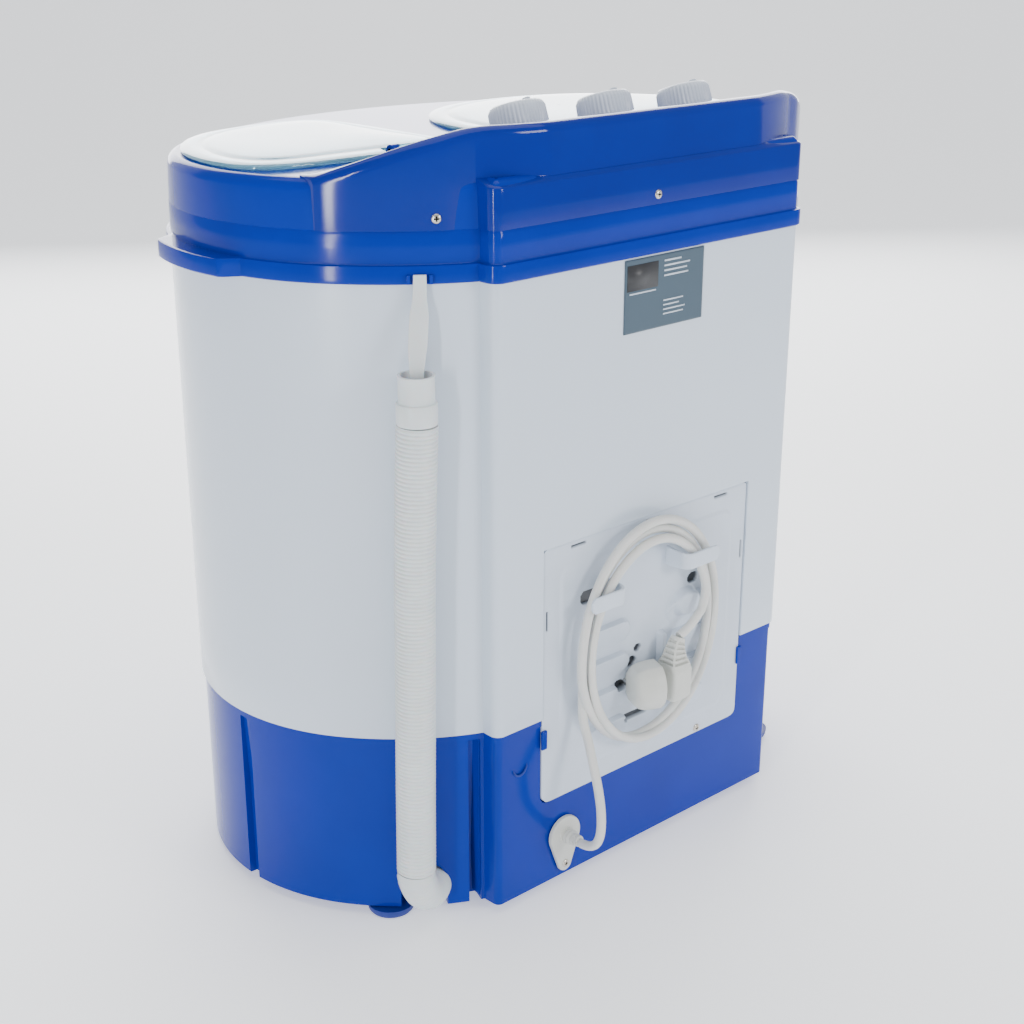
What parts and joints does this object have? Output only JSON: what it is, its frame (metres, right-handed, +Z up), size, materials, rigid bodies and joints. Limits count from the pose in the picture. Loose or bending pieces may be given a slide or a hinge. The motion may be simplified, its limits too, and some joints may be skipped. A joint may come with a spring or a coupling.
{
  "type": "twin tub washing machine",
  "caption": "Compact top loading twin-tub washing machine: white oval casing, blue base, rim and console, clear lids, knobs, side drain hose and a coiled mains lead on the back.",
  "frame": {"origin": "on the floor under the middle of the machine's box, measured without its mains lead and drain hose", "axes": "+Z up; the front faces -Y, the back panel faces +Y; the spin tub and drain hose are on the +X side"},
  "size_m": [0.5476, 0.3981, 0.5797],
  "materials": {
    "white_casing": "smooth gloss enamel",
    "blue_plastic": "moulded, glossy royal blue",
    "blue_console": "moulded, glossy royal blue",
    "lid_plastic": "clear light blue moulding",
    "knob_plastic": "moulded, satin white",
    "tub_plastic": "moulded polypropylene",
    "panel_plastic": "moulded, fine grain",
    "lead_plastic": "soft PVC sheath",
    "hose_plastic": "soft ribbed plastic",
    "black_plastic": "moulded",
    "rubber": "moulded",
    "steel": "zinc plated",
    "motor_steel": "grey enamel",
    "aluminium": "cast and machined",
    "label": "printed foil",
    "blue_foot": "moulded",
    "net_fabric": "fine net on a plastic frame"
  },
  "bodies": {
    "casing": {"base": "blue_plastic", "body_shell": "white_casing", "top_frame": "blue_plastic", "console_cover": "blue_console", "spin_timer_switch": "black_plastic", "selector_switch": "black_plastic", "wash_timer_switch": "black_plastic", "timer_bracket": "steel", "wash_tub": "tub_plastic", "spin_tub": "tub_plastic", "wash_bearing_housing": "black_plastic", "drive_belt": "rubber", "wash_motor": "motor_steel", "wash_motor_bracket": "steel", "spin_seal": "rubber", "spin_motor": "motor_steel", "spin_motor_plate": "steel", "spin_mount_1": "rubber", "spin_mount_2": "rubber", "spin_mount_3": "rubber", "brake_stud": "steel", "drain_valve": "tub_plastic", "wash_drain_hose": "black_plastic", "outlet_hose": "black_plastic", "spin_drain_hose": "black_plastic", "run_capacitor": "aluminium", "wiring_trunk": "black_plastic", "back_panel": "panel_plastic", "mains_plug": "lead_plastic", "lead_coil": "lead_plastic", "cord_gland": "lead_plastic", "mains_lead": "lead_plastic", "lead_tail": "lead_plastic", "drain_elbow": "hose_plastic", "drain_hose": "hose_plastic", "hose_cuff": "hose_plastic", "hose_hanger": "hose_plastic", "rating_label": "label", "panel_screw": "steel", "foot_1": "blue_foot", "foot_2": "blue_foot", "foot_3": "blue_foot", "foot_4": "blue_foot"},
    "wash_lid": {"wash_lid": "lid_plastic", "wash_hinge_pin": "steel"},
    "spin_lid": {"spin_lid": "lid_plastic", "spin_hinge_pin": "steel"},
    "spin_timer_knob": {"spin_timer_knob": "knob_plastic"},
    "selector_knob": {"selector_knob": "knob_plastic"},
    "wash_timer_knob": {"wash_timer_knob": "knob_plastic"},
    "wash_drive": {"pulsator": "tub_plastic", "wash_shaft": "steel", "wash_pulley": "aluminium"},
    "motor_rotor": {"motor_pulley": "aluminium"},
    "spin_rotor": {"spin_basket": "tub_plastic", "spin_shaft": "steel", "brake_drum": "motor_steel"},
    "brake_arm": {"brake_lever": "steel"},
    "plunger": {"valve_plunger": "rubber"},
    "lint_filter": {"lint_filter": "net_fabric"}
  },
  "joints": [
    {"name": "wash_lid_hinge", "type": "hinge", "parent": "casing", "child": "wash_lid", "pos_m": [-0.018, 0.05225, 0.5422], "axis": [-1, 0, 0], "range_deg": [0, 100]},
    {"name": "spin_lid_hinge", "type": "hinge", "parent": "casing", "child": "spin_lid", "pos_m": [0.112, 0.05225, 0.5422], "axis": [-1, 0, 0], "range_deg": [0, 100]},
    {"name": "spin_timer_turn", "type": "hinge", "parent": "casing", "child": "spin_timer_knob", "pos_m": [0.0807, 0.11225, 0.55444], "axis": [0, -0.3073, 0.9516], "range_deg": [-300, 0]},
    {"name": "selector_turn", "type": "hinge", "parent": "casing", "child": "selector_knob", "pos_m": [0, 0.11225, 0.55444], "axis": [0, -0.3073, 0.9516], "range_deg": [-90, 0]},
    {"name": "wash_timer_turn", "type": "hinge", "parent": "casing", "child": "wash_timer_knob", "pos_m": [-0.0807, 0.11225, 0.55444], "axis": [0, -0.3073, 0.9516], "range_deg": [-300, 0]},
    {"name": "wash_spin", "type": "hinge", "parent": "casing", "child": "wash_drive", "pos_m": [-0.088, -0.01675, 0.202], "axis": [0, 0, 1], "continuous": true},
    {"name": "motor_spin", "type": "hinge", "parent": "casing", "child": "motor_rotor", "pos_m": [0.017, 0.02825, 0.132], "axis": [0, 0, 1], "continuous": true},
    {"name": "basket_spin", "type": "hinge", "parent": "casing", "child": "spin_rotor", "pos_m": [0.154, -0.04175, 0.177], "axis": [0, 0, 1], "continuous": true},
    {"name": "brake_swing", "type": "hinge", "parent": "casing", "child": "brake_arm", "pos_m": [0.104, -0.01175, 0.137], "axis": [0, 0, 1], "range_deg": [-5, 0]},
    {"name": "valve_lift", "type": "slide", "parent": "casing", "child": "plunger", "axis": [0, 0, 1], "range_m": [0, 0.01]},
    {"name": "filter_lift", "type": "slide", "parent": "casing", "child": "lint_filter", "axis": [0, 0, 1], "range_m": [0, 0.05]}
  ],
  "couplings": [
    {"joint": "motor_spin", "follows": "wash_spin", "ratio": 3.7273},
    {"joint": "brake_swing", "follows": "spin_lid_hinge", "ratio": -0.05},
    {"joint": "valve_lift", "follows": "selector_turn", "m_per_rad": -0.006366}
  ]
}
